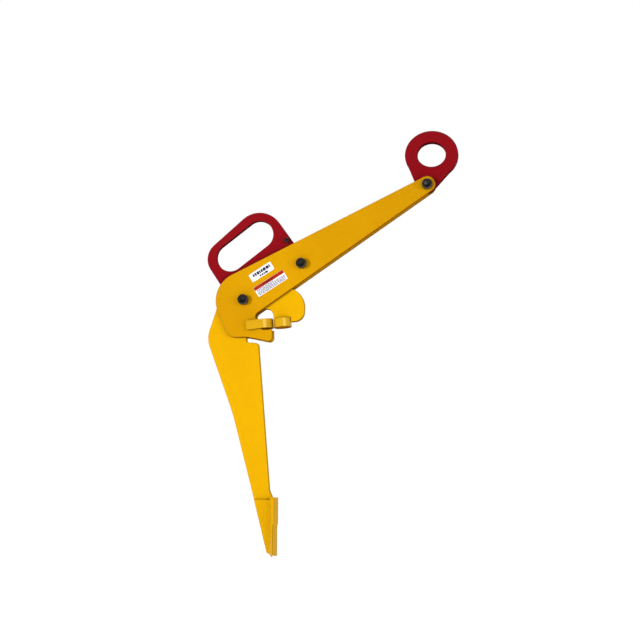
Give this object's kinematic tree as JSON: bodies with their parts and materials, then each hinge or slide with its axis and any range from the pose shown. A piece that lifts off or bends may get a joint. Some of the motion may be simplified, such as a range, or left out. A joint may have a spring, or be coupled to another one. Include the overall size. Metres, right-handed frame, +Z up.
{
  "type": "drum rim lifting clamp",
  "caption": "Long-legged steel clamp that grips a drum's rim between two jaws and hangs from a swinging lifting eye, with a carry handle and a vee foot.",
  "frame": {"origin": "centre of the lifting eye's opening, where the crane hook carries the clamp, in the middle plane", "axes": "+Z up, +X from the pivot towards the lifting eye, -Y towards the labelled front side"},
  "size_m": [0.4424, 0.0555, 0.7345],
  "materials": {
    "yellow_paint": "glossy",
    "red_paint": "glossy",
    "black_steel": "satin",
    "zinc_steel": "satin",
    "bronze": "satin",
    "label_film": "satin"
  },
  "bodies": {
    "arm": {"arm_plate_front": "yellow_paint", "arm_plate_rear": "yellow_paint", "outer_jaw_strap": "yellow_paint", "pivot_bolt": "black_steel", "pivot_washer": "black_steel", "pivot_nut": "black_steel", "pivot_thrust_washers": "zinc_steel", "tie_bolt": "black_steel", "tie_spacer": "zinc_steel", "tie_washer": "black_steel", "tie_nut": "black_steel", "eye_bolt": "black_steel", "eye_washer": "black_steel", "eye_nut": "black_steel", "eye_thrust_washers": "zinc_steel", "name_label": "label_film", "warning_label": "label_film"},
    "body_frame": {"body_plate": "yellow_paint", "foot_plate_front": "yellow_paint", "foot_plate_rear": "yellow_paint", "inner_jaw_pad": "yellow_paint", "carry_handle": "red_paint", "handle_screws": "zinc_steel", "stop_pin": "black_steel", "pivot_bush": "bronze"},
    "lifting_eye": {"lifting_eye": "red_paint", "eye_bush": "bronze"}
  },
  "joints": [
    {"name": "arm_pivot", "type": "hinge", "parent": "arm", "child": "body_frame", "pos_m": [-0.3292, 0, -0.2498], "axis": [0, -1, 0], "range_deg": [0, 26]},
    {"name": "eye_swing", "type": "hinge", "parent": "arm", "child": "lifting_eye", "pos_m": [-0.0069, 0, -0.0545], "axis": [0, 1, 0], "continuous": true}
  ]
}
